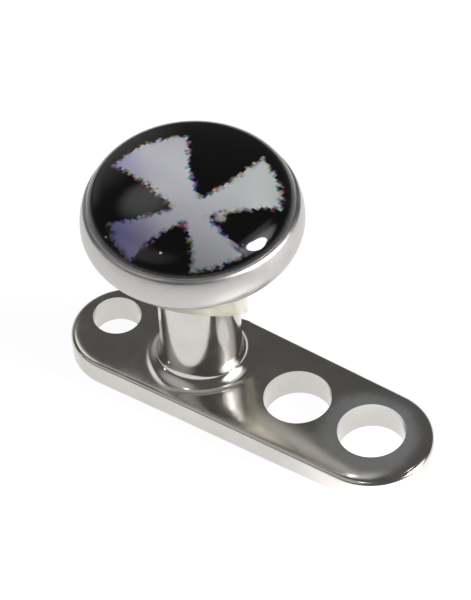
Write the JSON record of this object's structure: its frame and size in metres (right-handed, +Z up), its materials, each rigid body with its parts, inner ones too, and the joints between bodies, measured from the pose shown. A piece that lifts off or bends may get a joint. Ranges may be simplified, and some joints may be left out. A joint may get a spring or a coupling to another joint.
{
  "type": "dermal anchor with a picture top",
  "caption": "Small steel footplate with holes and an upright post, topped by a round cup that holds a printed cross under a clear resin dome.",
  "frame": {"origin": "on the post's axis, at the underside of the footplate", "axes": "+Z up along the post, +X along the footplate towards the end with two holes, +Y across the footplate"},
  "size_m": [0.0074, 0.004, 0.0053],
  "materials": {
    "polished_steel": "mirror-polished surgical steel, tumbled so that every edge is rounded",
    "cup_steel": "softly polished surgical steel",
    "printed_picture": "colour print on film: a pale lilac and grey cross with flared arms on black",
    "clear_resin": "clear, glossy doming resin",
    "clear_sleeve": "soft, see-through, pale yellow"
  },
  "bodies": {
    "root": {"anchor_base": "polished_steel", "top_cup": "cup_steel", "print_disc": "printed_picture", "resin_dome": "clear_resin", "soft_sleeve": "clear_sleeve"}
  },
  "joints": []
}
